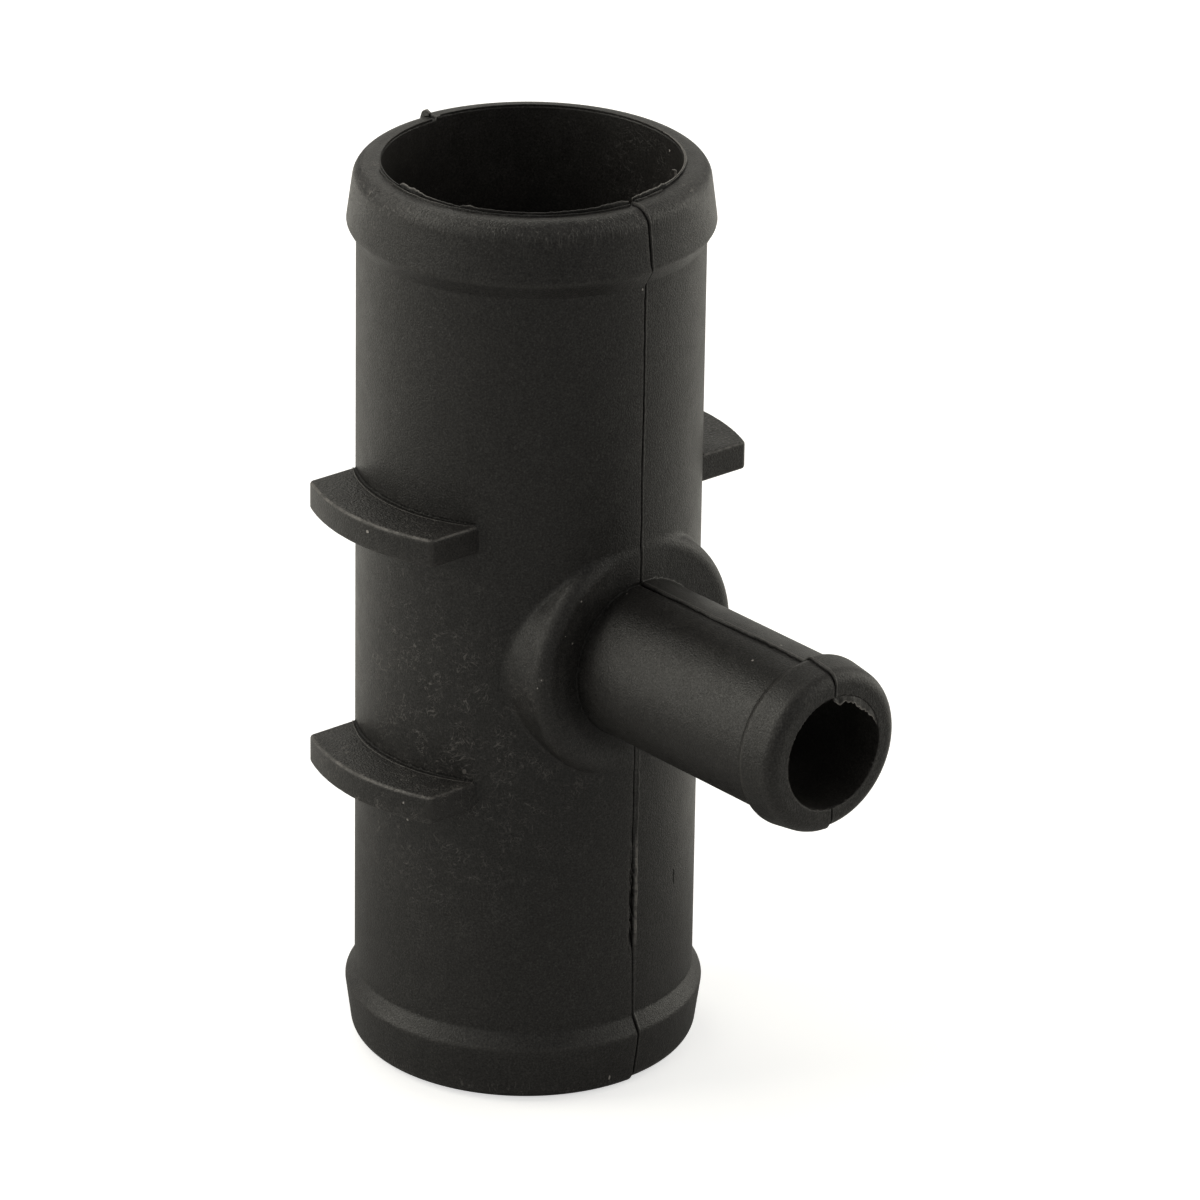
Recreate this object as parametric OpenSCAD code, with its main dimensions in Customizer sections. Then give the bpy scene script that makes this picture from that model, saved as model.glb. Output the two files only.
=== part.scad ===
// Radiator hose connector: a reducing tee moulded in one piece.
// A coolant hose pushes over each of the three beaded ends and is clamped behind the bead.
// The hose stops and the boss end its travel.
// Z is the axis of the main tube, with its lower end face at 0, and X is the axis of the branch.
// The mould parts on the XZ plane and opens along Y, so the hose stops end square to X.

/* [Main tube] */
// Outside diameter of the main tube
main_d = 35; // [30:0.5:44]
// Wall thickness of the main tube
main_wall = 2.5; // [1.8:0.1:4]
// Length of the main tube from end face to end face
main_len = 96; // [90:1:140]

/* [Branch] */
// Outside diameter of the branch tube
branch_d = 16.2; // [12:0.1:20]
// Wall thickness of the branch tube
branch_wall = 2.25; // [1.75:0.05:3.5]
// Length of the branch from the front of the boss to its end face
branch_len = 29.2; // [20:0.1:50]

/* [Beads of the main tube] */
// How far a bead stands proud of the main tube
main_bead_rise = 1.0; // [0.6:0.1:1.6]
// Distance from the end face to the crest of the bead
main_bead_lead = 6.1; // [4:0.1:8]
// Length of the slope behind the crest
main_bead_back = 1.7; // [1.2:0.1:3]
// Radius of the rounded edge at the end face
main_lip_r = 1.6; // [0.4:0.1:1.8]

/* [Bead of the branch] */
// How far the bead stands proud of the branch tube
branch_bead_rise = 0.7; // [0.5:0.1:1.2]
// Distance from the end face to the crest of the bead
branch_bead_lead = 4.0; // [3.5:0.1:6]
// Length of the slope behind the crest
branch_bead_back = 0.8; // [0.7:0.1:2.5]
// Radius of the rounded edge at the end face
branch_lip_r = 1.3; // [0.3:0.1:1.5]

/* [Shape of every bead] */
// Slope of the lead-in from the crest down to the end face, in degrees
lead_angle = 7.6; // [3:0.1:9]
// Radius of the crest
crest_r = 0.8; // [0.2:0.1:1.2]
// Radius of the fillet behind the bead
bead_fillet_r = 0.3; // [0.1:0.1:0.6]

/* [Hose stops] */
// How far a hose stop stands proud of the main tube
stop_rise = 5.2; // [3:0.1:9]
// Thickness of a hose stop
stop_t = 3; // [2:0.1:5]
// Width of a hose stop between its two flat ends
stop_w = 19.5; // [10:0.5:26]
// Distance from the branch axis to the middle of a hose stop
stop_offset = 14; // [13.5:0.5:24]
// Radius of the edges of a hose stop
stop_edge_r = 0.3; // [0.1:0.1:0.8]

/* [Boss] */
// How far the boss reaches past the branch tube all round
boss_margin = 4.65; // [3:0.05:5.5]
// Radius of the front rim of the boss
boss_rim_r = 1.5; // [0.5:0.1:1.8]
// Radius of the fillet where the branch tube leaves the boss
boss_fillet_r = 0.6; // [0.4:0.1:1.9]

/* [Hidden] */
$fn = 128;

// Largest turn between two points of a rounded corner, in degrees
arc_step = 12;
// How far a cut runs past the face that it opens
past = 1;

main_r = main_d / 2;
main_bore_r = main_r - main_wall;
branch_r = branch_d / 2;
branch_bore_r = branch_r - branch_wall;
// The branch leaves the main tube at half its length
branch_z = main_len / 2;
// The front of the boss touches the front line of the main tube
boss_face = main_r;
boss_r = branch_r + boss_margin;
branch_reach = boss_face + branch_len;
stop_r = main_r + stop_rise;

// Unit vector from one point towards another
function toward(a, b) = (b - a) / norm(b - a);

// A vector turned by an angle
function turned(v, angle) =
    [v.x * cos(angle) - v.y * sin(angle), v.x * sin(angle) + v.y * cos(angle)];

// Arc of radius r that rounds the corner p between its neighbours a and b
function arc_at(a, p, b, r) =
    let (
        to_a = toward(p, a),
        to_b = toward(p, b),
        half = acos(to_a * to_b) / 2,
        centre = p + toward([0, 0], to_a + to_b) * r / sin(half),
        spoke = p + to_a * r / tan(half) - centre,
        sweep = (180 - 2 * half) * sign(cross(to_b, to_a)),
        steps = ceil(abs(sweep) / arc_step)
    )
    [for (i = [0 : steps]) centre + turned(spoke, sweep * i / steps)];

// Closed outline through corners given as [x, y, radius], where a radius of 0 stays sharp
function rounded(corners) =
    let (
        n = len(corners),
        p = [for (c = corners) [c.x, c.y]]
    )
    [for (i = [0 : n - 1])
        each corners[i].z > 0
            ? arc_at(p[(i + n - 1) % n], p[i], p[(i + 1) % n], corners[i].z)
            : [p[i]]];

// Corners of a beaded end, from its end face inwards along dir
function bead(end, dir, tube_r, rise, lead, back, lip_r) = [
    [tube_r + rise - lead * tan(lead_angle), end, lip_r],
    [tube_r + rise, end + dir * lead, crest_r],
    [tube_r, end + dir * (lead + back), bead_fillet_r]
];

function reversed(list) = [for (i = [len(list) - 1 : -1 : 0]) list[i]];

// The main tube before it is bored, with a bead at each end
module main_tube() {
    low = bead(0, 1, main_r, main_bead_rise, main_bead_lead, main_bead_back, main_lip_r);
    high = bead(main_len, -1, main_r, main_bead_rise, main_bead_lead, main_bead_back, main_lip_r);
    rotate_extrude()
        polygon(rounded([
            [0, 0, 0],
            each low,
            each reversed(high),
            [0, main_len, 0]
        ]));
}

// The boss and the branch before they are bored, from the main axis out to the branch's bead
module boss_and_branch() {
    tip = bead(branch_reach, -1, branch_r,
        branch_bead_rise, branch_bead_lead, branch_bead_back, branch_lip_r);
    translate([0, 0, branch_z])
        rotate([0, 90, 0])
            rotate_extrude()
                polygon(rounded([
                    [0, 0, 0],
                    [boss_r, 0, 0],
                    [boss_r, boss_face, boss_rim_r],
                    [branch_r, boss_face, boss_fillet_r],
                    each reversed(tip),
                    [0, branch_reach, 0]
                ]));
}

// One hose stop: a piece of a round flange between two planes square to X, with soft edges
module hose_stop() {
    intersection() {
        rotate_extrude()
            polygon(rounded([
                [0, -stop_t / 2, 0],
                [stop_r, -stop_t / 2, stop_edge_r],
                [stop_r, stop_t / 2, stop_edge_r],
                [0, stop_t / 2, 0]
            ]));
        rotate([-90, 0, 0])
            linear_extrude(stop_r + past)
                polygon(rounded([
                    for (corner = [[-1, -1], [1, -1], [1, 1], [-1, 1]])
                        [corner.x * stop_w / 2, corner.y * stop_t / 2, stop_edge_r]
                ]));
    }
}

// The four hose stops: above and below the branch, on both sides of the parting plane
module hose_stops() {
    for (level = [-1, 1], side = [0, 180])
        translate([0, 0, branch_z + level * stop_offset])
            rotate([0, 0, side])
                hose_stop();
}

// The two bores, which meet on the main axis
module bores() {
    translate([0, 0, -past])
        cylinder(r = main_bore_r, h = main_len + 2 * past);
    translate([0, 0, branch_z])
        rotate([0, 90, 0])
            cylinder(r = branch_bore_r, h = branch_reach + past);
}

// The whole moulding
module connector_body() {
    color([0.07, 0.07, 0.07])
        difference() {
            union() {
                main_tube();
                boss_and_branch();
                hose_stops();
            }
            bores();
        }
}

connector_body();
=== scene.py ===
"""Shows the radiator hose connector: its moulded surface, mould marks, finish, light and camera.

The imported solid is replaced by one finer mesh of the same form. It is worked out from distance
functions in millimetres, in the frame of the CAD model: Z along the main tube, X along the branch.
"""
import math

import bpy
import numpy as np
from mathutils import Matrix, Vector


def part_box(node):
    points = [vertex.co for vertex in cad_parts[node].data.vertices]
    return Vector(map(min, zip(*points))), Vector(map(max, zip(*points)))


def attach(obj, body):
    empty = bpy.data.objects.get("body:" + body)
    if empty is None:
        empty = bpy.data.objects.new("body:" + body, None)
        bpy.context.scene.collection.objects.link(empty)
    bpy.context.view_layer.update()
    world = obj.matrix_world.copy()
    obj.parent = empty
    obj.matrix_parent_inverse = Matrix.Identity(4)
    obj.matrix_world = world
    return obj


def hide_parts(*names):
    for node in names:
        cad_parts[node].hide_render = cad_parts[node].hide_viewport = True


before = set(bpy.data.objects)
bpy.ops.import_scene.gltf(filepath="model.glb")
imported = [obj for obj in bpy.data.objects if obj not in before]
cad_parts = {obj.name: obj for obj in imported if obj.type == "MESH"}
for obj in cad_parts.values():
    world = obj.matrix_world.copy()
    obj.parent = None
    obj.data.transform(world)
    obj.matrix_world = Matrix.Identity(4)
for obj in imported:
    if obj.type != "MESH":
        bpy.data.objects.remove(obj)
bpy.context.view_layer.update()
MM = 0.001

# Sizes of the moulding, as in the CAD model
MAIN_R = 17.5
MAIN_BORE_R = 15.0
MAIN_LEN = 96.0
BRANCH_R = 8.1
BRANCH_BORE_R = 5.85
BRANCH_REACH = 46.7
LEAD_SLOPE = math.tan(math.radians(7.6))
MAIN_BEAD = {"rise": 1.0, "lead": 6.1, "back": 1.7, "lip_r": 1.6, "crest_r": 0.8, "fillet_r": 0.3}
BRANCH_BEAD = {"rise": 0.7, "lead": 4.0, "back": 0.8, "lip_r": 1.3, "crest_r": 0.8, "fillet_r": 0.3}
STOP_R = 22.7
STOP_T = 3.0
STOP_W = 19.5
STOP_OFFSET = 14.0
STOP_EDGE_R = 0.3
STOP_CORNER_R = 0.3
BOSS_R = 12.75
BOSS_RIM_R = 1.5

# Fillets and edges of this one moulding, where the CAD model has a sharp corner or a larger fillet
STOP_FILLET_R = 0.1
BOSS_ROOT_R = 0.4
BOSS_FILLET_R = 0.1
BORE_EDGE_R = 0.12

# How the two halves of the mould sit: the +Y half is higher than the other by this much
MISMATCH = 0.3
MISMATCH_BLEND = 0.1

# The parting line: a groove just beside the XZ plane, with a thin lip along its +Y side.
# Below the branch it strays from the plane, most at the boss and not at all at the lower end.
GROOVE_Y = -0.05
STRAY_Y = -0.45
STRAY_FROM_Z = 5.0
STRAY_TO_Z = 40.0
GROOVE_W = 0.07
GROOVE_DEPTH = 0.14
LIP_Y = 0.11
LIP_RISE = 0.04
# Where its flash was torn away: the height on the main tube, and how far that reaches
TEAR_Z = 20.5
TEAR_HALF = 5.0
TEAR_LEFT_Y = -0.85
TEAR_RIGHT_Y = -0.08
TEAR_DEPTH = 0.3
TORN_AT = (17.5, -0.35, 24.5)
# Where thick burrs are left below the boss: the height of the middle, half the length
BURRS = ((33.0, 4.0), (20.0, 4.5))
BURR_RISE = 0.12

# Flash on the upper bore edge: stretches of (angle about Z in degrees, height)
TOP_FLASH = (
    ((-178, 0.1), (-150, 0.14), (-120, 0.1), (-100, 0.12)),
    ((-99.5, 0.25), (-98, 0.45), (-92, 0.48), (-87.7, 0.5), (-84, 0.34), (-80, 0.26), (-71, 0.2), (-68, 0.12),
     (-66.5, 0.3), (-64, 0.42), (-62, 0.3), (-55, 0.3), (-48, 0.26), (-37, 0.24), (-25, 0.3), (-12.5, 0.44),
     (-5, 0.48), (-1.2, 0.3)),
    ((0.3, 0.26), (4.8, 0.38), (10.3, 0.41), (16.5, 0.4), (17.4, 0.55), (18.4, 0.38), (26.4, 0.23),
     (36, 0.2), (60, 0.15), (80, 0.12)),
    ((81, 0.08), (130, 0.1), (178, 0.06)),
)
# How pale its edge is, for wear and a painted highlight: (angle, share)
TOP_FLASH_WEAR_AND_HIGHLIGHT = ((-101, 0.1), (-99, 1.0), (-85, 0.9), (-76, 0.3), (-67, 0.2), (-64, 0.8), (-60, 0.2),
                  (-5, 0.3), (0, 1.0), (80, 1.0), (90, 0.1))
FLASH_SINK = 0.2
CURL_ANGLE = 30
# Flash across the branch's bore edge: angle from +Y towards +Z in degrees, and how far it reaches in
BRANCH_FLASH = ((14, 0.05), (22, 0.25), (35, 0.6), (51, 0.85), (66, 0.6), (77, 0.55), (86, 0.85), (92, 0.3))

# How far below and inside its corner the pale edge line of a hose stop lies, partly wear and partly painted
# highlight
WEAR_AND_HIGHLIGHT_SINK = 0.09
# Patches of fine scuffs: their middle, reach and strength
SCUFFS = (
    ((3, -17, 38), 26, 1.0),
    ((0, 14, 91), 8, 0.5),
    ((-7, -15.5, 94.5), 9, 1.0),
    ((16, 6, 94.5), 8, 1.0),
)
# Specks of pale dust, and nicks that stay dark: the place, the size, and how much taller than wide
DUST = (
    ((2.17, -22.6, 62.5), 0.16, 1),
    ((6.84, -21.7, 34.3), 0.12, 1),
    ((2.21, -17.4, 29.4), 0.12, 1),
    ((37.8, 0.76, 56.1), 0.14, 1),
    ((37.57, -2.77, 55.46), 0.12, 1),
    ((17.64, -3.13, 1.74), 0.08, 3),
    ((17.5, -0.43, 87.58), 0.1, 1),
    ((17.49, -7.7, 56.16), 0.08, 1),
    ((17.6, -6.2, 53.5), 0.08, 1),
    ((17.72, -6.66, 52.7), 0.07, 1),
    ((17.5, -9.72, 52.92), 0.07, 1),
    ((17.5, -8.8, 51.91), 0.08, 1),
    ((17.0, -12.34, 48.7), 0.08, 1),
    ((16.68, -12.58, 47.8), 0.07, 1),
    ((18.0, -2.2, 55.7), 0.08, 1),
    ((4.09, 14.43, 94.72), 0.12, 1),
)
NICKS = (
    ((16.4, 6.11, 21.42), 0.15, 6),
    ((16.5, 5.7, 24.6), 0.06, 3),
)

# The studio: softboxes as name, azimuth, height in metres, width and height in metres, and radiance
LAMPS = (
    ("high_left", -90, 1.15, (0.7, 0.6), 3.2),
    ("high_back_left", -150, 1.15, (0.7, 0.6), 2.7),
    ("middle_left", -90, 0.65, (0.6, 0.45), 1.8),
    ("middle_front_left", -30, 0.65, (0.6, 0.45), 1.0),
    ("middle_front_right", 60, 0.65, (0.6, 0.45), 0.95),
    ("high_right", 90, 1.15, (0.7, 0.6), 1.2),
    ("middle_back_right", 150, 0.65, (0.6, 0.45), 1.0),
    ("middle_back", 180, 0.65, (0.6, 0.45), 0.5),
    ("left_spot", -120, 0.55, (0.3, 0.3), 2.2),
    ("right_spot", 117, 0.6, (0.3, 0.3), 2.4),
    ("low_left", -90, 0.2, (0.6, 0.4), 1.7),
    ("low_front_left", -60, 0.2, (0.6, 0.4), 0.9),
    ("low_right", 90, 0.2, (0.6, 0.4), 1.2),
    ("low_back_right", 120, 0.2, (0.6, 0.4), 1.75),
    ("low_back", 180, 0.2, (0.6, 0.4), 0.5),
)
# Patches of the lit table top as name, azimuth, distance in metres, side in metres, and radiance
TABLE_GLOWS = (
    ("table_close_left", -140, 0.1, 0.1, 0.1),
    ("table_close_right", 140, 0.1, 0.1, 0.35),
    ("table_near_left", -120, 0.2, 0.2, 0.4),
    ("table_near_right", 125, 0.2, 0.2, 0.25),
    ("table_far_left", -140, 0.42, 0.3, 1.3),
    ("table_far_right", 145, 0.42, 0.3, 1.15),
)
# The light of the studio is a little warm
LIGHT_TINT = (1.0, 0.972, 0.868)
FLOOR_ALBEDO = 0.5
FLOOR_GLOW = 0.6
ROOM_LIGHT = 0.15

# Mesh of the moulding: the grid is finer beside the parting plane
CELL = 0.25
SEAM_CELL = 0.06
SEAM_HALF = 0.72
TRIANGLES = 190_000


def ragged(t, step, seed):
    """Random values from -1 to 1 that change about once each step along t."""
    values = np.random.default_rng(seed).uniform(-1, 1, 512)
    return np.interp(np.mod(t / step, 511), np.arange(512), values)


def hump(t, middle, half):
    """1 near the middle and 0 past half the width, with soft ends."""
    return np.exp(-((t - middle) / half) ** 4)


def max_round(a, b, r):
    """Where two solids overlap, with their shared edge rounded to radius r."""
    inner = np.minimum(np.maximum(a + r, b + r), 0)
    return np.hypot(np.maximum(a + r, 0), np.maximum(b + r, 0)) + inner - r


def min_fillet(a, b, r):
    """Two solids joined, with a fillet of radius r in the corner between them."""
    return -max_round(-a, -b, r)


def corner_arc(a, p, b, r, steps=10):
    """Points of the arc of radius r that rounds corner p between its neighbours a and b."""
    to_a = (a - p) / np.linalg.norm(a - p)
    to_b = (b - p) / np.linalg.norm(b - p)
    half = math.acos(float(to_a @ to_b)) / 2
    middle = (to_a + to_b) / np.linalg.norm(to_a + to_b)
    centre = p + middle * r / math.sin(half)
    first = p + to_a * r / math.tan(half) - centre
    turn = (math.pi - 2 * half) * np.sign(to_b[0] * to_a[1] - to_b[1] * to_a[0])
    angles = np.linspace(0, turn, steps)
    spokes = np.stack([
        first[0] * np.cos(angles) - first[1] * np.sin(angles),
        first[0] * np.sin(angles) + first[1] * np.cos(angles),
    ], axis=1)
    return centre + spokes


def beaded_radius(tube_r, bead):
    """Radius of a beaded tube against the distance from its end face, as two lists for np.interp."""
    crest = tube_r + bead["rise"]
    corners = np.array([
        [0.0, crest - bead["lead"] * LEAD_SLOPE],
        [bead["lead"], crest],
        [bead["lead"] + bead["back"], tube_r],
        [bead["lead"] + bead["back"] + 5, tube_r],
    ])
    points = np.concatenate([
        corners[:1],
        corner_arc(corners[0], corners[1], corners[2], bead["crest_r"]),
        corner_arc(corners[1], corners[2], corners[3], bead["fillet_r"]),
        corners[3:],
    ])
    return points[:, 0], points[:, 1]


MAIN_PROFILE = beaded_radius(MAIN_R, MAIN_BEAD)
BRANCH_PROFILE = beaded_radius(BRANCH_R, BRANCH_BEAD)


def mould_shift(y):
    """How far the mould half that y lies in sits above the middle position."""
    return MISMATCH / 2 * np.clip(y / MISMATCH_BLEND, -1, 1)


def main_tube(r, z):
    """Distance to the main tube without its bore, z from its middle."""
    inset = MAIN_LEN / 2 - MISMATCH / 2 - np.abs(z)
    side = r - np.interp(inset, *MAIN_PROFILE)
    return max_round(side, -inset, MAIN_BEAD["lip_r"])


def branch_tube(r, x):
    """Distance to the branch tube without its bore, from the main axis outwards."""
    inset = BRANCH_REACH - x
    side = r - np.interp(inset, *BRANCH_PROFILE)
    return np.maximum(max_round(side, -inset, BRANCH_BEAD["lip_r"]), -x)


def boss(r, x):
    """Distance to the round boss that the branch stands on."""
    return np.maximum(max_round(r - BOSS_R, x - MAIN_R, BOSS_RIM_R), -x)


def hose_stops(r, x, y, z):
    """Distance to the four hose stops, z from the branch axis."""
    plan = max_round(r - STOP_R, np.abs(x) - STOP_W / 2, STOP_CORNER_R)
    level = np.abs(np.abs(z) - STOP_OFFSET) - STOP_T / 2
    return np.maximum(max_round(plan, level, STOP_EDGE_R), MAIN_R - 1 - r)


def groove_share(x, y, z):
    """1 on the line of the parting groove and 0 away from it, z from the bottom."""
    along = x + z
    wander = 0.06 * ragged(along, 4.0, 1) + 0.03 * ragged(along, 0.7, 2)
    stray = np.clip((z - STRAY_FROM_Z) / (STRAY_TO_Z - STRAY_FROM_Z), 0, 1) * (z < STRAY_TO_Z) * (x > 0)
    width = GROOVE_W * (1 + 0.6 * np.clip((np.hypot(x, y) - MAIN_R - 0.05) / 0.3, 0, 1) * (np.abs(x) < 20))
    width = width * (1 + 0.25 * ragged(along, 1.1, 8))
    # On the slope behind the upper bead it lies past the step between the mould halves
    passed = 0.14 * hump(z, MAIN_LEN - MAIN_BEAD["lead"] - MAIN_BEAD["back"] / 2, 1.0) * (x > 0)
    return np.exp(-((y - GROOVE_Y - STRAY_Y * stray - passed - wander) / width) ** 2)


def tear_share(x, y, z):
    """1 in the pits where flash was torn off the front of the main tube, and 0 elsewhere."""
    left = TEAR_LEFT_Y + 0.2 * ragged(z, 1.3, 3) + 0.1 * ragged(z, 0.4, 9)
    right = TEAR_RIGHT_Y + 0.1 * ragged(z, 0.9, 10)
    across = np.clip((y - left) / 0.12, 0, 1) * np.clip((right - y) / 0.1, 0, 1)
    deep = np.clip(0.8 + 0.5 * ragged(z, 0.8, 4) + 0.5 * ragged(z + 3 * y, 0.35, 11), 0, 1)
    reach = np.maximum(hump(z, TEAR_Z, TEAR_HALF), 0.4 * hump(z, TEAR_Z + 6, 3))
    return deep * reach * across * (x > 0)


def parting_line(x, y, z):
    """How deep the marks of the parting line go, below zero where they stand proud."""
    along = x + z
    lip = (0.8 + 0.4 * ragged(along, 1.7, 5)) * np.exp(-((y - LIP_Y) / 0.07) ** 2)
    burr = np.clip(0.5 + ragged(z, 0.9, 6), 0, 1) * sum(hump(z, *b) for b in BURRS) * (x > 0)
    burr = burr * np.exp(-((y - 0.18 - 0.06 * ragged(z, 0.8, 7)) / 0.1) ** 2)
    cut = GROOVE_DEPTH * groove_share(x, y, z) + TEAR_DEPTH * tear_share(x, y, z)
    return cut - LIP_RISE * lip - BURR_RISE * burr


def moulding(p):
    """Signed distance to the whole moulding, below zero inside it."""
    x, y, z = p[..., 0], p[..., 1], p[..., 2] - MAIN_LEN / 2
    moved = z - mould_shift(y)
    r_main = np.hypot(x, y)
    r_branch = np.hypot(y, moved)
    body = main_tube(r_main, moved)
    front = min_fillet(body, boss(r_branch, x), BOSS_ROOT_R)
    front = min_fillet(front, branch_tube(r_branch, x), BOSS_FILLET_R)
    body = np.where(x > 1, front, body)
    body = min_fillet(body, hose_stops(r_main, x, y, z), STOP_FILLET_R)
    near = np.abs(y) < SEAM_HALF
    body[near] += parting_line(x[near], y[near], p[..., 2][near])
    main_bore = r_main - MAIN_BORE_R
    branch_bore = np.maximum(np.hypot(y, z) - BRANCH_BORE_R, -x)
    bores = np.minimum(main_bore, branch_bore)
    return max_round(body, -bores, BORE_EDGE_R)


def slopes(distance, p, step=0.01):
    """Gradient of a distance function at each point."""
    parts = []
    for axis in range(3):
        offset = np.zeros(3)
        offset[axis] = step
        parts.append((distance(p + offset) - distance(p - offset)) / (2 * step))
    return np.stack(parts, axis=-1)


def pulled_onto(distance, p, passes=4):
    """Points moved along the slope of a distance function until they lie on its surface."""
    for _ in range(passes):
        slope = slopes(distance, p)
        square = np.maximum((slope ** 2).sum(-1, keepdims=True), 0.05)
        move = distance(p)[..., None] * slope / square
        p = p - np.clip(move, -CELL, CELL)
    return p


def grid_lines(low, high, seam=False):
    """Where the grid's planes lie along one axis, closer together beside the seam."""
    lines = np.arange(low, high + CELL, CELL)
    if seam:
        fine = np.arange(-SEAM_HALF, SEAM_HALF + SEAM_CELL, SEAM_CELL)
        lines = np.concatenate([lines[lines < fine[0] - CELL / 2], fine, lines[lines > fine[-1] + CELL / 2]])
    return lines


def field_of(distance, lines):
    """The distance function on a grid, worked out one layer at a time to spare memory."""
    xs, ys, zs = lines
    field = np.empty((len(xs), len(ys), len(zs)), np.float32)
    layer = np.empty((len(xs), len(ys), 3))
    layer[..., 0] = xs[:, None]
    layer[..., 1] = ys[None, :]
    for k, z in enumerate(zs):
        layer[..., 2] = z
        field[:, :, k] = distance(layer)
    return field


def surface_net(distance, lines):
    """Closed surface of a distance function: one point in each grid cell that the surface crosses."""
    field = field_of(distance, lines)
    inside = field < 0
    sizes = tuple(len(line) - 1 for line in lines)
    number = np.full(sizes, -1, np.int32)
    mixed = np.zeros(sizes, bool)
    first = inside[:-1, :-1, :-1]
    for i, j, k in np.ndindex(2, 2, 2):
        mixed |= first != inside[i:sizes[0] + i, j:sizes[1] + j, k:sizes[2] + k]
    number[mixed] = np.arange(mixed.sum())
    total = np.zeros((int(mixed.sum()), 3))
    share = np.zeros(len(total))
    unit = np.eye(3, dtype=int)
    quads = []
    for axis in range(3):
        shorter = [slice(None, -1) if n == axis else slice(None) for n in range(3)]
        longer = [slice(1, None) if n == axis else slice(None) for n in range(3)]
        at = np.argwhere(inside[tuple(shorter)] != inside[tuple(longer)])
        near = field[tuple(at.T)]
        far = field[tuple((at + unit[axis]).T)]
        point = np.stack([lines[n][at[:, n]] for n in range(3)], axis=1)
        reach = lines[axis][at[:, axis] + 1] - lines[axis][at[:, axis]]
        point[:, axis] += reach * near / (near - far)
        u, v = unit[(axis + 1) % 3], unit[(axis + 2) % 3]
        ring = np.stack([number[tuple((at - back).T)] for back in (0 * u, u, u + v, v)], axis=1)
        for cells in ring.T:
            share += np.bincount(cells, minlength=len(total))
            for n in range(3):
                total[:, n] += np.bincount(cells, point[:, n], len(total))
        outward = ~inside[tuple(at.T)]
        ring[outward] = ring[outward][:, ::-1]
        quads.append(ring)
    return total / share[:, None], np.concatenate(quads)


def mesh_object(name, points, faces, material):
    """A smooth-shaded object from points in millimetres."""
    mesh = bpy.data.meshes.new(name)
    mesh.from_pydata((np.asarray(points) * MM).tolist(), [], [list(map(int, face)) for face in faces])
    mesh.shade_smooth()
    mesh.materials.append(material)
    piece = bpy.data.objects.new(name, mesh)
    bpy.context.scene.collection.objects.link(piece)
    return piece


def points_of(mesh):
    """A mesh's points, in millimetres."""
    flat = np.empty(len(mesh.vertices) * 3)
    mesh.vertices.foreach_get("co", flat)
    return flat.reshape(-1, 3) / MM


def apply_modifiers(piece):
    """The piece's mesh with its modifiers worked in."""
    graph = bpy.context.evaluated_depsgraph_get()
    made = bpy.data.meshes.new_from_object(piece.evaluated_get(graph))
    piece.modifiers.clear()
    piece.data = made


def keep_near_seam(piece, points):
    """A vertex group that holds the points beside the parting line, which the thinning spares."""
    outside = np.hypot(points[:, 0], points[:, 1]) > MAIN_BORE_R + 0.5
    kept = np.flatnonzero(outside & (np.abs(points[:, 1]) < SEAM_HALF))
    group = piece.vertex_groups.new(name="kept")
    group.add(kept.tolist(), 1, "REPLACE")
    return group.name


def add_marks(mesh, points):
    """Gives each point what the finish follows: the parting groove and torn pits, where shade is painted, and
    sharp edges.
    """
    reach = 0.25
    bend = sum(
        moulding(points + side * reach * axis) for axis in np.eye(3) for side in (-1, 1)
    ) / reach ** 2
    x, y, z = points.T
    outside = (np.hypot(x, y) > MAIN_BORE_R + 0.2) & (np.hypot(y, z - MAIN_LEN / 2) > BRANCH_BORE_R + 0.2)
    outside |= (x < 0) & (np.hypot(x, y) > MAIN_BORE_R + 0.2)
    marks = {
        # The groove mark is where the finish paints shade in the parting groove and torn pits
        "groove": outside * np.maximum(groove_share(x, y, z), tear_share(x, y, z)),
        "edge": np.clip(bend / 4, 0, 1),
    }
    for name, values in marks.items():
        mesh.attributes.new(name, "FLOAT", "POINT").data.foreach_set("value", values.astype(np.float32))


def make_moulding(material):
    """The visible surface of the connector, thinned to the limit of triangles and pulled true again."""
    low, high = (np.array(c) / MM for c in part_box("connector_body"))
    # The grid starts off the faces, so that no face lies on a grid plane
    starts = low - 2 * CELL - 0.07
    ends = high + 2 * CELL
    lines = [grid_lines(starts[n], ends[n], seam=n == 1) for n in range(3)]
    points, faces = surface_net(moulding, lines)
    points = pulled_onto(moulding, points)
    piece = mesh_object("moulded_connector", points, faces, material)
    thinner = piece.modifiers.new("thinner", "DECIMATE")
    thinner.vertex_group = keep_near_seam(piece, points)
    thinner.invert_vertex_group = True
    thinner.ratio = min(1, TRIANGLES / (2 * len(faces)))
    apply_modifiers(piece)
    points = np.clip(pulled_onto(moulding, points_of(piece.data), passes=2), low, high)
    piece.data.vertices.foreach_set("co", (points * MM).ravel())
    normals = slopes(moulding, points)
    normals /= np.linalg.norm(normals, axis=1, keepdims=True)
    piece.data.normals_split_custom_set_from_vertices(normals.tolist())
    add_marks(piece.data, points)
    return piece


def mark_tips(piece, values):
    """Marks how far each point of a piece of flash lies on its pale edge, which stands for wear and a painted
    highlight.
    """
    piece.data.attributes.new("tip", "FLOAT", "POINT").data.foreach_set("value", values.astype(np.float32))


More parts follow.
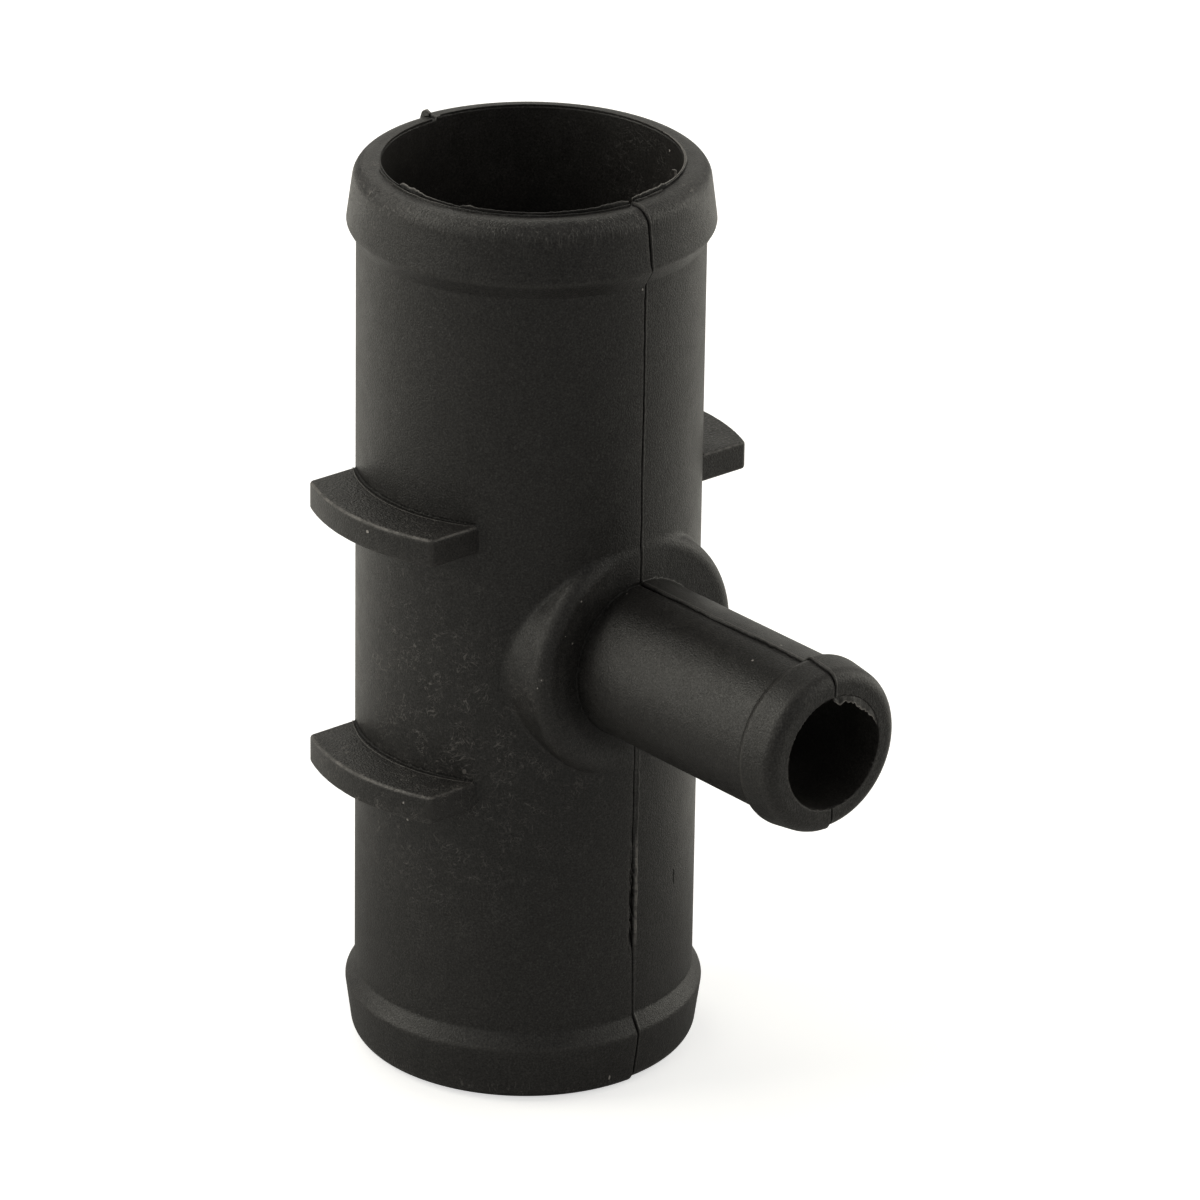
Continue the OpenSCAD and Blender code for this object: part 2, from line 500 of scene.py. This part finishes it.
def strip(name, base, across, up, height, thick, material, wear_and_highlight=1.0):
    """A thin closed strip that grows from its sunk base line to a blunt edge, made pale by a share for wear
    and a painted highlight.
    """
    half = across * thick / 2
    lift = up * np.asarray(height)[:, None]
    sunk = base - up * FLASH_SINK
    middle = base + 0.7 * lift
    tip = base + lift
    rows = [
        sunk - half, middle - 0.9 * half, tip - 0.5 * half,
        tip + 0.5 * half, middle + 0.9 * half, sunk + half,
    ]
    count, sides = len(base), len(rows)
    faces = [list(range(0, count * sides, count)), list(range(count - 1, count * sides, count))[::-1]]
    for side in range(sides):
        a, b = side * count, (side + 1) % sides * count
        faces += [[a + i, a + i + 1, b + i + 1, b + i] for i in range(count - 1)]
    piece = mesh_object(name, np.concatenate(rows), faces, material)
    piece.data.shade_flat()
    mark_tips(piece, np.outer([0, 0, 1, 1, 0, 0], np.ones(count) * wear_and_highlight).ravel())
    return piece


def around(angles, r):
    """Points at radius r round the main axis, and the direction outwards at each."""
    turns = np.radians(angles)
    out = np.stack([np.cos(turns), np.sin(turns), 0 * turns], axis=1)
    return r * out, out


def top_flash(material):
    """The fin of flash that stands on the upper bore edge, torn into stretches of different height."""
    pieces = []
    for number, stretch in enumerate(TOP_FLASH):
        first, last = stretch[0][0], stretch[-1][0]
        angles = np.linspace(first, last, max(8, int((last - first) / 0.6)))
        height = np.interp(angles, *zip(*stretch))
        height = height * (1 + 0.15 * ragged(angles + 200, 1.1, 20 + number))
        base, out = around(angles, MAIN_BORE_R + 0.1)
        base[:, 2] = MAIN_LEN - 0.05 + mould_shift(base[:, 1])
        lean = 0.12 * ragged(angles + 200, 6, 30 + number)[:, None]
        up = np.array([0, 0, 1.0]) + out * (lean - 0.12)
        wear_and_highlight = np.interp(angles, *zip(*TOP_FLASH_WEAR_AND_HIGHLIGHT))
        pieces.append(strip(f"bore_flash_{number + 1}", base, out, up, height, 0.1, material, wear_and_highlight))
    return pieces


def flattened_flash(material):
    """The stretch where the flash was pressed flat on the bore edge."""
    angles = np.linspace(20, 112, 150)
    width = np.interp(angles, [20, 34, 42, 50, 62, 75, 112], [0.08, 0.12, 0.2, 0.28, 0.22, 0.12, 0.06])
    base, out = around(angles, MAIN_BORE_R + 0.08)
    base += out * (width / 2 + 0.03 * ragged(angles, 1.3, 71))[:, None]
    base[:, 2] = MAIN_LEN + MISMATCH / 2 - 0.1
    up = np.broadcast_to([0, 0, 1.0], out.shape)
    return strip("flattened_flash", base, out * width[:, None], up, 0 * width + 0.16, 1.0, material, 0.6)


def edge_ring(material):
    """The fine raised ring just outside the fin, where the core pin met the mould."""
    pieces = []
    for number, (first, last) in enumerate(((-118, -1.5), (0.5, 16))):
        angles = np.linspace(first, last, 160)
        height = 0.1 + 0.05 * ragged(angles + 200, 2.3, 80 + number)
        base, out = around(angles, MAIN_BORE_R + 0.42)
        base += out * 0.05 * ragged(angles + 200, 5.3, 85 + number)[:, None]
        base[:, 2] = MAIN_LEN + mould_shift(base[:, 1]) - 0.05
        up = np.broadcast_to([0, 0, 1.0], out.shape)
        wear_and_highlight = np.interp(angles, [-100, -95, -78, -70, 0, 5], [0.1, 0.5, 0.5, 0.1, 0.1, 0.4])
        pieces.append(strip(f"edge_ring_{number + 1}", base, out, up, height, 0.1, material, wear_and_highlight))
    return pieces


def curl(material):
    """A curled sliver of flash that stands up from the upper bore edge."""
    base, out = around(np.array([CURL_ANGLE]), MAIN_BORE_R + 0.1)
    climb = np.linspace(0, 1, 14)
    hook = np.clip((climb - 0.75) / 0.25, 0, 1)
    bend = np.stack([-0.12 * climb, -0.05 * climb - 0.3 * hook ** 2, 1.5 * climb - 0.12 * hook ** 2], axis=1)
    path = base + [0, 0, MAIN_LEN - 0.4] + bend
    width = np.interp(climb, [0, 0.7, 0.88, 1], [0.1, 0.1, 0.17, 0.12])
    turns = np.linspace(0, 2 * math.pi, 8, endpoint=False)
    ring = np.stack([np.cos(turns), np.sin(turns), 0 * turns], axis=1)
    points = (path[:, None] + ring[None] * width[:, None, None]).reshape(-1, 3)
    faces = [list(range(8))[::-1], list(range(len(points) - 8, len(points)))]
    for k in range(len(climb) - 1):
        for i in range(8):
            j = (i + 1) % 8
            faces.append([8 * k + i, 8 * k + j, 8 * k + 8 + j, 8 * k + 8 + i])
    piece = mesh_object("flash_curl", points, faces, material)
    mark_tips(piece, np.full(len(points), 0.8))
    return piece


def branch_flash(material):
    """The ragged web of flash that leans into the branch's bore at its outer end."""
    angles = np.linspace(BRANCH_FLASH[0][0], BRANCH_FLASH[-1][0], 90)
    height = np.interp(angles, *zip(*BRANCH_FLASH)) * (1 + 0.2 * ragged(angles, 2.2, 41))
    turns = np.radians(angles)
    out = np.stack([0 * turns, np.cos(turns), np.sin(turns)], axis=1)
    base = out * (BRANCH_BORE_R + 0.05) + [BRANCH_REACH - 0.16, 0, MAIN_LEN / 2]
    across = np.broadcast_to([1.0, 0, 0], out.shape)
    up = -out + across * (0.35 + 0.25 * ragged(angles, 5, 42)[:, None])
    return strip("branch_flash", base, across, up, height, 0.2, material)


def stop_witness(material):
    """The fine raised line at the root of each hose stop's upper face, where two mould blocks met."""
    pieces = []
    reach = math.degrees(math.asin(STOP_W / 2 / (MAIN_R + 0.2))) - 0.6
    for number, (middle, level) in enumerate(((-90, 1), (90, 1), (-90, -1), (90, -1))):
        along = np.linspace(-1, 1, 120)
        angles = middle + reach * along
        height = 0.05 + 0.025 * ragged(angles + 200, 0.9, 50 + number)
        base, out = around(angles, MAIN_R)
        base += out * (0.65 - 0.35 * along ** 2 + 0.04 * ragged(angles + 200, 3.1, 60 + number))[:, None]
        base[:, 2] = MAIN_LEN / 2 + level * STOP_OFFSET + STOP_T / 2
        up = np.broadcast_to([0, 0, 1.0], out.shape)
        pieces.append(strip(f"stop_witness_{number + 1}", base, out, up, height, 0.12, material, 0.6))
    return pieces


def rear_burr(material):
    """The burr where the parting line crosses the rear of the upper rim."""
    turn = np.linspace(1.5, 0.5, 14)
    lip = MAIN_BEAD["lip_r"]
    centre = np.array([MAIN_PROFILE[1][0] - lip, MAIN_LEN - lip])
    out = np.stack([-np.cos(turn), 0 * turn, np.sin(turn)], axis=1)
    base = lip * out + [-centre[0], 0.06, centre[1]]
    across = np.broadcast_to([0, 1.0, 0], out.shape)
    height = np.interp(np.arange(14), [0, 3, 8, 13], [0.1, 0.45, 0.4, 0.1])
    return strip("rear_burr", base, across, out, height, 0.4, material)


class Nodes:
    """A new material's node tree, with short calls that add nodes to it."""

    def __init__(self, name):
        self.material = bpy.data.materials.new(name)
        self.material.use_nodes = True
        self.tree = self.material.node_tree
        self.skin = self.tree.nodes["Principled BSDF"]
        coordinates = self.tree.nodes.new("ShaderNodeTexCoord")
        self.place = coordinates.outputs["Object"]

    def join(self, socket, value):
        """Sets an input to a value, or links it to another node's output."""
        if isinstance(value, bpy.types.NodeSocket):
            self.tree.links.new(value, socket)
        else:
            socket.default_value = value

    def calc(self, operation, *values):
        """A sum or other operation on one to three values."""
        node = self.tree.nodes.new("ShaderNodeMath")
        node.operation = operation
        for socket, value in zip(node.inputs, values):
            self.join(socket, value)
        return node.outputs[0]

    def vector(self, operation, *values):
        """An operation on vectors; a distance or length comes back as a value."""
        node = self.tree.nodes.new("ShaderNodeVectorMath")
        node.operation = operation
        for socket, value in zip(node.inputs, values):
            self.join(socket, value)
        return node.outputs["Value" if operation in ("DISTANCE", "LENGTH") else "Vector"]

    def noise(self, size, detail=2.0, stretch=(1, 1, 1), distortion=0.0):
        """Noise from 0 to 1 whose blotches are about size millimetres across, stretched along each axis."""
        node = self.tree.nodes.new("ShaderNodeTexNoise")
        scales = tuple(1 / (size * MM * s) for s in stretch)
        self.join(node.inputs["Vector"], self.vector("MULTIPLY", self.place, scales))
        node.inputs["Scale"].default_value = 1
        node.inputs["Detail"].default_value = detail
        node.inputs["Distortion"].default_value = distortion
        return node.outputs[0]

    def ramp(self, value, low, high, to_low=0.0, to_high=1.0):
        """The value carried smoothly from the range low..high to the range to_low..to_high."""
        node = self.tree.nodes.new("ShaderNodeMapRange")
        node.interpolation_type = "SMOOTHSTEP"
        for socket, limit in zip(node.inputs, (value, low, high, to_low, to_high)):
            self.join(socket, limit)
        return node.outputs[0]

    def total(self, *values):
        """The values added up."""
        result = values[0]
        for value in values[1:]:
            result = self.calc("ADD", result, value)
        return result

    def times(self, *values):
        """The values multiplied."""
        result = values[0]
        for value in values[1:]:
            result = self.calc("MULTIPLY", result, value)
        return result

    def mark(self, name):
        """One of the values that each point of the mesh holds."""
        node = self.tree.nodes.new("ShaderNodeAttribute")
        node.attribute_name = name
        return node.outputs["Fac"]

    def axes(self, vector=None):
        """The X, Y and Z of a vector, which is the place on the connector unless another is given."""
        node = self.tree.nodes.new("ShaderNodeSeparateXYZ")
        self.join(node.inputs[0], self.place if vector is None else vector)
        return node.outputs

    def away(self, value, middle):
        """How far a value lies from the middle, to either side."""
        return self.calc("ABSOLUTE", self.calc("SUBTRACT", value, middle))

    def diagonal(self, a, b):
        """The length of the diagonal of two sides."""
        return self.calc("SQRT", self.total(self.times(a, a), self.times(b, b)))

    def from_main_axis(self):
        """Distance from the axis of the main tube."""
        return self.vector("LENGTH", self.vector("MULTIPLY", self.place, (1, 1, 0)))

    def from_branch_axis(self):
        """Distance from the axis of the branch."""
        off = self.vector("SUBTRACT", self.place, (0, 0, MAIN_LEN / 2 * MM))
        return self.vector("LENGTH", self.vector("MULTIPLY", off, (0, 1, 1)))


def stop_tops(mix):
    """1 on the upper faces of the hose stops and 0 elsewhere."""
    x = mix.axes()[0]
    geometry = mix.tree.nodes.new("ShaderNodeNewGeometry")
    upward = mix.axes(geometry.outputs["Normal"])[2]
    return mix.times(
        mix.ramp(upward, 0.6, 0.9),
        mix.ramp(mix.from_main_axis(), (MAIN_R + 0.2) * MM, (MAIN_R + 0.4) * MM),
        mix.ramp(mix.calc("ABSOLUTE", x), (STOP_W / 2 + 0.35) * MM, (STOP_W / 2 - 0.05) * MM),
    )


def stop_edge_highlights(mix):
    """1 along the upper edges of the hose stops, here and there, and 0 elsewhere: a pale line, partly wear
    and partly painted highlight.
    """
    x, _, z = mix.axes()
    across = mix.from_main_axis()
    level = mix.away(z, (MAIN_LEN + STOP_T - 2 * WEAR_AND_HIGHLIGHT_SINK) / 2 * MM)
    below = mix.away(level, STOP_OFFSET * MM)
    rim = mix.calc("SUBTRACT", across, (STOP_R - WEAR_AND_HIGHLIGHT_SINK) * MM)
    end = mix.calc("SUBTRACT", mix.calc("ABSOLUTE", x), (STOP_W / 2 - WEAR_AND_HIGHLIGHT_SINK) * MM)
    on_end = mix.calc("ADD", mix.diagonal(below, end), 0.04 * MM)
    near = mix.calc("MINIMUM", mix.diagonal(below, rim), on_end)
    return mix.times(
        mix.ramp(near, 0.2 * MM, 0.1 * MM),
        mix.ramp(across, (MAIN_R + 0.1) * MM, (MAIN_R + 0.4) * MM),
        mix.ramp(mix.noise(0.7, detail=3.0), 0.38, 0.62, 0.2, 1.0),
    )


def rims(mix):
    """1 on the shoulders at the ends of the main tube and 0 between them."""
    from_middle = mix.away(mix.axes()[2], MAIN_LEN / 2 * MM)
    return mix.times(
        mix.ramp(from_middle, (MAIN_LEN / 2 - 3.0) * MM, (MAIN_LEN / 2 - 1.2) * MM),
        mix.ramp(from_middle, (MAIN_LEN / 2 - 0.1) * MM, (MAIN_LEN / 2 - 0.5) * MM),
    )


def bore_wall(mix):
    """1 on the inside of the two bores and 0 elsewhere, and the same for the depth of the branch."""
    x = mix.axes()[0]
    in_branch = mix.times(
        mix.ramp(mix.from_branch_axis(), (BRANCH_BORE_R + 0.15) * MM, (BRANCH_BORE_R + 0.05) * MM),
        mix.ramp(x, (MAIN_BORE_R - 1) * MM, MAIN_BORE_R * MM),
    )
    in_main = mix.ramp(mix.from_main_axis(), (MAIN_BORE_R + 0.15) * MM, (MAIN_BORE_R + 0.05) * MM)
    deep = mix.times(in_branch, mix.ramp(x, (BRANCH_REACH - 3) * MM, (BRANCH_REACH - 12) * MM))
    return mix.calc("MAXIMUM", in_main, in_branch), deep


def torn_specks(mix):
    """Pale ragged specks where flash was torn off below the boss."""
    off = mix.vector("SUBTRACT", mix.place, tuple(c * MM for c in TORN_AT))
    near = mix.vector("LENGTH", mix.vector("MULTIPLY", off, (0, 1 / (0.7 * MM), 1 / (4 * MM))))
    front = mix.vector("LENGTH", off)
    patch = mix.times(mix.ramp(near, 1.0, 0.6), mix.ramp(front, 8 * MM, 7 * MM))
    return mix.times(patch, mix.ramp(mix.noise(0.3, detail=3.0, stretch=(1, 1, 1.8)), 0.55, 0.68))


def torn_ridge(mix):
    """The pale edge that stands along the right of the torn place."""
    x, y, z = mix.axes()
    return mix.times(
        mix.ramp(mix.away(y, 0.12 * MM), 0.22 * MM, 0.1 * MM),
        mix.ramp(mix.away(z, (TEAR_Z + 1.5) * MM), 6.5 * MM, 5.0 * MM),
        mix.ramp(x, 16 * MM, 17 * MM),
        mix.ramp(mix.noise(0.6, detail=3.0), 0.4, 0.6, 0.2, 1.0),
    )


def scuffs(mix):
    """Fine squiggly pale scratches, thick in a few patches and thin elsewhere."""
    lines = 0
    for size, width in ((2.2, 0.011), (1.0, 0.018)):
        wave = mix.noise(size, detail=2.0, distortion=1.2)
        line = mix.ramp(mix.away(wave, 0.5), width, 0.3 * width)
        lines = line if lines == 0 else mix.calc("MAXIMUM", lines, line)
    broken = mix.ramp(mix.noise(2.4, detail=4.0), 0.42, 0.58)
    patches = 0.12
    for centre, reach, strength in SCUFFS:
        far = mix.vector("DISTANCE", mix.place, tuple(c * MM for c in centre))
        near = mix.ramp(far, reach * MM, 0.3 * reach * MM, 0.0, strength)
        patches = mix.calc("MAXIMUM", patches, near)
    return mix.times(lines, broken, patches)


def specks(mix, marks):
    """1 on a few small marks and 0 elsewhere."""
    wobble = mix.noise(0.25, detail=2.0)
    spots = 0
    for place, size, tall in marks:
        off = mix.vector("SUBTRACT", mix.place, tuple(c * MM for c in place))
        far = mix.vector("LENGTH", mix.vector("MULTIPLY", off, (1, 1, 1 / tall)))
        spots = mix.calc("MAXIMUM", spots, mix.calc("LESS_THAN", far, mix.times(wobble, 2 * size * MM)))
    return spots


def rim_gap(mix):
    """1 in the shade of the fin on the upper bore edge, as far as the fin runs, and 0 elsewhere."""
    x, y, z = mix.axes()
    off = mix.away(mix.from_main_axis(), (MAIN_BORE_R + 0.23) * MM)
    angle = mix.calc("MULTIPLY", mix.calc("ARCTAN2", y, x), 180 / math.pi)
    return mix.times(
        mix.ramp(off, 0.2 * MM, 0.12 * MM),
        mix.ramp(z, (MAIN_LEN - 0.8) * MM, (MAIN_LEN - 0.5) * MM),
        mix.ramp(angle, 44, 36),
        mix.ramp(angle, -106, -100),
    )


def root_corner_shade(mix):
    """Painted shade, 1 in the tight corners at the roots of the hose stops and, on its left, of the branch.
    """
    x, y, z = mix.axes()
    below = mix.calc("SUBTRACT", mix.away(z, (MAIN_LEN + STOP_T) / 2 * MM), STOP_OFFSET * MM)
    out = mix.calc("SUBTRACT", mix.from_main_axis(), MAIN_R * MM)
    stops = mix.times(
        mix.ramp(mix.diagonal(below, out), 0.45 * MM, 0.2 * MM),
        mix.ramp(mix.calc("ABSOLUTE", x), STOP_W / 2 * MM, (STOP_W / 2 - 0.4) * MM),
    )
    rim = mix.calc("SUBTRACT", mix.from_branch_axis(), BRANCH_R * MM)
    front = mix.calc("SUBTRACT", x, MAIN_R * MM)
    branch = mix.times(
        mix.ramp(mix.diagonal(rim, front), 0.5 * MM, 0.15 * MM),
        mix.ramp(y, 1.0 * MM, 0.0),
    )
    return mix.times(mix.calc("MAXIMUM", stops, branch), 0.6)


def root_shade(mix):
    """1 on the branch's left side just in front of the boss, which shades it, and 0 elsewhere."""
    x, y, _ = mix.axes()
    reach = mix.total(mix.times(mix.noise(2.0), 1.2 * MM), (MAIN_R + 1.9) * MM)
    return mix.times(
        mix.ramp(x, MAIN_R * MM, reach, 1.0, 0.0),
        mix.ramp(mix.from_branch_axis(), (BRANCH_R + 3.2) * MM, (BRANCH_R + 1.2) * MM),
        mix.ramp(y, 0.0, -2.0 * MM),
        mix.ramp(x, (MAIN_R - 0.5) * MM, MAIN_R * MM),
    )


def black_plastic():
    """Glass filled nylon, nearly black: a satin skin with fine grain, mottling, scuffs and dust, with painted
    shade in grooves and corners and painted highlights on thin edges.
    """
    mix = Nodes("black_plastic")
    tops = stop_tops(mix)
    scratches = scuffs(mix)
    dust = specks(mix, DUST)
    tip = mix.mark("tip")
    edge = mix.mark("edge")
    inner, deep = bore_wall(mix)
    outer = mix.calc("SUBTRACT", 1, inner)
    ends = mix.times(rims(mix), outer, mix.ramp(mix.noise(4.0, detail=2.0), 0.4, 0.6, 0.3, 1.0))
    shade = mix.times(rim_gap(mix), 0.6, mix.calc("SUBTRACT", 1, tip))
    shade = mix.calc("MAXIMUM", shade, mix.times(root_shade(mix), 0.45))
    shade = mix.calc("MAXIMUM", shade, root_corner_shade(mix))
    # groove gathers the painted shade: the parting groove and torn pits, the fin's shade, the branch's root
    # and the tight corners, with the dark nicks
    groove = mix.calc("MAXIMUM", mix.mark("groove"), mix.calc("MAXIMUM", shade, specks(mix, NICKS)))

    grain = mix.noise(0.18, detail=2.5)
    drawn = mix.noise(0.25, detail=2.0, stretch=(1, 1, 7))
    mottle = mix.noise(2.2, detail=1.0)
    coarse = mix.noise(0.24, detail=2.0)
    hairs = mix.noise(0.2, detail=2.0, stretch=(1, 1, 8))
    contrast = mix.calc("SUBTRACT", mix.ramp(grain, 0.3, 0.7), 0.5)
    height = mix.total(
        mix.times(grain, mix.ramp(outer, 0, 1, 0.3, 1.0), 0.06 * MM),
        mix.times(drawn, outer, 0.01 * MM),
        mix.times(mottle, outer, 0.045 * MM),
        mix.times(coarse, tops, 0.12 * MM),
        mix.times(hairs, ends, 0.1 * MM),
        mix.times(scratches, 0.04 * MM),
    )
    bump = mix.tree.nodes.new("ShaderNodeBump")
    bump.inputs["Distance"].default_value = 1
    mix.join(bump.inputs["Height"], height)
    mix.join(mix.skin.inputs["Normal"], bump.outputs[0])

    sparkle = mix.ramp(coarse, 0.55, 0.72)
    glitter = mix.ramp(mix.noise(0.2, detail=1.0), 0.62, 0.78)
    rough = mix.total(
        0.42,
        mix.times(mix.calc("SUBTRACT", mottle, 0.5), 0.14),
        mix.times(scratches, 0.12),
        mix.times(groove, 0.2),
        mix.times(tops, 0.06),
    )
    mix.join(mix.skin.inputs["Roughness"], rough)

    pale = mix.total(
        0.0155,
        mix.times(mix.calc("SUBTRACT", mottle, 0.5), 0.006),
        mix.times(contrast, 0.018),
        mix.times(mix.ramp(hairs, 0.55, 0.75), ends, 0.1),
        mix.times(glitter, 0.02),
        mix.times(sparkle, tops, 0.07),
        # Painted highlight, partly wear: a pale line along the upper edges of the hose stops
        mix.times(stop_edge_highlights(mix), 0.1),
        mix.times(torn_specks(mix), 0.09),
        mix.times(torn_ridge(mix), 0.12),
        mix.times(inner, 0.006),
        mix.times(deep, 0.07),
        mix.times(scratches, 0.09),
        mix.times(edge, outer, 0.03),
        # Painted highlight, partly wear: the pale edges of the flash, the edge ring and the stop witness
        # lines
        mix.times(tip, 0.2),
        mix.times(dust, 0.35),
    )
    # Painted shade: the colour darkens where groove is high
    pale = mix.times(pale, mix.ramp(groove, 0.1, 0.9, 1.0, 0.25))
    colour = mix.tree.nodes.new("ShaderNodeCombineXYZ")
    for socket, share in zip(colour.inputs, (1.0, 0.94, 0.89)):
        mix.join(socket, mix.times(pale, share))
    mix.join(mix.skin.inputs["Base Color"], colour.outputs[0])
    mix.skin.inputs["IOR"].default_value = 1.5
    # Painted shade: where groove is high the skin mirrors almost nothing, the bores little, and the grain of
    # the skin unevenly
    mirrored = mix.times(
        mix.ramp(groove, 0.2, 0.9, 0.5, 0.1),
        mix.ramp(inner, 0, 1, 1.0, 0.7),
        mix.ramp(mix.noise(0.2, detail=1.5), 0.32, 0.68, 0.82, 1.2),
    )
    mix.join(mix.skin.inputs["Specular IOR Level"], mirrored)
    return mix.material


def make_camera():
    """The photograph's camera, found from the edges of the connector in the photograph."""
    place = Vector((549.314, -461.479, 365.081)) * MM
    turn = math.radians(40.6225)
    rise = math.radians(23.8266)
    roll = math.radians(0.8962)
    back = Vector((math.cos(turn) * math.cos(rise), -math.sin(turn) * math.cos(rise), math.sin(rise)))
    level = Vector((math.sin(turn), math.cos(turn), 0))
    up = back.cross(level)
    right = math.cos(roll) * level + math.sin(roll) * up
    top = math.cos(roll) * up - math.sin(roll) * level
    lens = bpy.data.cameras.new("camera")
    lens.sensor_width = 36
    lens.lens = 231.486
    lens.clip_start = 0.01
    lens.clip_end = 50
    camera = bpy.data.objects.new("camera", lens)
    axes = Matrix((right, top, back)).transposed().to_4x4()
    camera.matrix_world = Matrix.Translation(place) @ axes
    bpy.context.scene.collection.objects.link(camera)
    bpy.context.scene.camera = camera


def make_light(name, place, aim, size, radiance):
    """A rectangular light that shines along aim."""
    light = bpy.data.lights.new(name, "AREA")
    light.shape = "RECTANGLE"
    light.size, light.size_y = size
    light.energy = radiance * math.pi * size[0] * size[1]
    light.color = LIGHT_TINT
    lamp = bpy.data.objects.new(name, light)
    lamp.location = place
    lamp.rotation_euler = aim.to_track_quat("-Z", "Y").to_euler()
    lamp.visible_camera = False
    bpy.context.scene.collection.objects.link(lamp)


def heading(azimuth):
    """The level direction at an azimuth, which is 0 on the camera's side and grows to its right."""
    turn = math.radians(azimuth)
    to_camera = Vector((0.759, -0.651, 0))
    to_its_right = Vector((0.651, 0.759, 0))
    return to_camera * math.cos(turn) + to_its_right * math.sin(turn)


def make_lamp(name, azimuth, height, size, radiance):
    """A softbox a metre from the connector, turned to it."""
    place = heading(azimuth) + Vector((0, 0, height))
    make_light(name, place, Vector((0, 0, MAIN_LEN / 2 * MM)) - place, size, radiance)


def make_table_glow(name, azimuth, distance, side, radiance):
    """A bright patch of the table top, which the sides of the connector mirror."""
    place = heading(azimuth) * distance + Vector((0, 0, 0.002))
    make_light(name, place, Vector((0, 0, 1)), (side, side), radiance)


def white_where_seen(tree, plain, seen):
    """The first shader for light in general, and the second for what the camera sees directly."""
    path = tree.nodes.new("ShaderNodeLightPath")
    choice = tree.nodes.new("ShaderNodeMixShader")
    tree.links.new(path.outputs["Is Camera Ray"], choice.inputs[0])
    tree.links.new(plain, choice.inputs[1])
    tree.links.new(seen, choice.inputs[2])
    return choice.outputs[0]


def make_floor():
    """A pale table top, which the camera sees as white apart from the connector's soft shadow."""
    half = 2.5
    corners = [(-half, -half, 0), (half, -half, 0), (half, half, 0), (-half, half, 0)]
    mesh = bpy.data.meshes.new("floor")
    mesh.from_pydata(corners, [], [(0, 1, 2, 3)])
    material = bpy.data.materials.new("white_table")
    material.use_nodes = True
    tree = material.node_tree
    tree.nodes.clear()
    plain = tree.nodes.new("ShaderNodeBsdfDiffuse")
    plain.inputs["Color"].default_value = (FLOOR_ALBEDO, FLOOR_ALBEDO, FLOOR_ALBEDO, 1)
    bright = tree.nodes.new("ShaderNodeBsdfDiffuse")
    bright.inputs["Color"].default_value = (0.9, 0.9, 0.9, 1)
    glow = tree.nodes.new("ShaderNodeEmission")
    glow.inputs["Strength"].default_value = FLOOR_GLOW
    seen = tree.nodes.new("ShaderNodeAddShader")
    tree.links.new(bright.outputs[0], seen.inputs[0])
    tree.links.new(glow.outputs[0], seen.inputs[1])
    result = tree.nodes.new("ShaderNodeOutputMaterial")
    tree.links.new(white_where_seen(tree, plain.outputs[0], seen.outputs[0]), result.inputs["Surface"])
    mesh.materials.append(material)
    floor = bpy.data.objects.new("floor", mesh)
    bpy.context.scene.collection.objects.link(floor)


def make_world():
    """A dark room that shows white where the camera looks straight at it."""
    world = bpy.data.worlds.new("surroundings")
    bpy.context.scene.world = world
    world.use_nodes = True
    tree = world.node_tree
    tree.nodes.clear()
    room = tree.nodes.new("ShaderNodeBackground")
    room.inputs["Strength"].default_value = ROOM_LIGHT
    white = tree.nodes.new("ShaderNodeBackground")
    for background in (room, white):
        background.inputs["Color"].default_value = (1, 1, 1, 1)
    result = tree.nodes.new("ShaderNodeOutputWorld")
    tree.links.new(white_where_seen(tree, room.outputs[0], white.outputs[0]), result.inputs["Surface"])


plastic = black_plastic()
body = make_moulding(plastic)
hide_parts("connector_body")
pieces = [body, curl(plastic), branch_flash(plastic), rear_burr(plastic), flattened_flash(plastic)]
pieces += top_flash(plastic) + edge_ring(plastic) + stop_witness(plastic)
for piece in pieces:
    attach(piece, "root")
make_camera()
for lamp in LAMPS:
    make_lamp(*lamp)
for glow in TABLE_GLOWS:
    make_table_glow(*glow)
make_floor()
make_world()

bpy.context.scene.view_settings.view_transform = "Standard"
